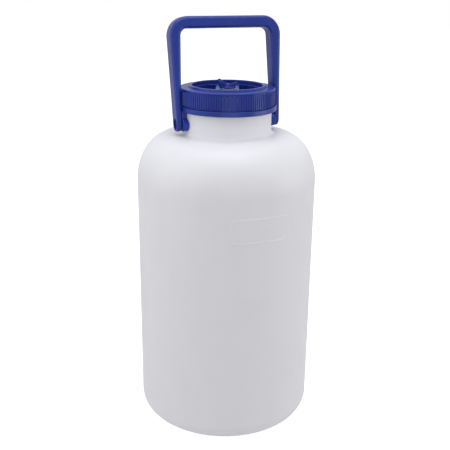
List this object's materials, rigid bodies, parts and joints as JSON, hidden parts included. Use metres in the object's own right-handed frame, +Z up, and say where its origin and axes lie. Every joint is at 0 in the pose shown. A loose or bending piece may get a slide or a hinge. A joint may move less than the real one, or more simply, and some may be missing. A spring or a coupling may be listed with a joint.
{
  "type": "water jug",
  "caption": "Tall round wide-neck plastic jug with a ribbed screw cap, a winged vent plug in the cap and a swinging bail handle on a neck collar.",
  "frame": {"origin": "middle of the base, on the surface the jug stands on", "axes": "+Z up along the bottle's axis; X along the handle's pivots; -Y is the front, with the raised panel"},
  "size_m": [0.208, 0.2085, 0.4788],
  "materials": {
    "natural_polyethylene": "translucent milky blow-moulded polyethylene, satin",
    "blue_plastic": "moulded royal blue, semi-gloss",
    "seal_foam": "matt closed-cell foam"
  },
  "bodies": {
    "bottle": {"bottle_body": "natural_polyethylene"},
    "collar": {"neck_collar": "blue_plastic"},
    "handle": {"carry_handle": "blue_plastic"},
    "gasket": {"cap_gasket": "seal_foam"},
    "cap": {"screw_cap": "blue_plastic"},
    "vent_ring": {"vent_seal": "seal_foam"},
    "vent": {"vent_plug": "blue_plastic"}
  },
  "joints": [
    {"name": "collar_turn", "type": "hinge", "parent": "bottle", "child": "collar", "pos_m": [0, 0, 0.379], "axis": [0, 0, 1], "continuous": true},
    {"name": "handle_swing", "type": "hinge", "parent": "collar", "child": "handle", "pos_m": [0, 0, 0.3622], "axis": [1, 0, 0], "range_deg": [-86, 99]},
    {"name": "cap_lift", "type": "slide", "parent": "bottle", "child": "gasket", "axis": [0, 0, 1], "range_m": [0, 0.0181]},
    {"name": "cap_turn", "type": "hinge", "parent": "gasket", "child": "cap", "pos_m": [0, 0, 0.39], "axis": [0, 0, 1], "range_deg": [0, 810]},
    {"name": "vent_lift", "type": "slide", "parent": "cap", "child": "vent_ring", "axis": [0, 0, 1], "range_m": [0, 0.0101]},
    {"name": "vent_turn", "type": "hinge", "parent": "vent_ring", "child": "vent", "pos_m": [0, 0, 0.395], "axis": [0, 0, 1], "range_deg": [0, 900]}
  ],
  "couplings": [
    {"joint": "cap_lift", "follows": "cap_turn", "m_per_rad": 0.0012732},
    {"joint": "vent_lift", "follows": "vent_turn", "m_per_rad": 0.00063662}
  ]
}
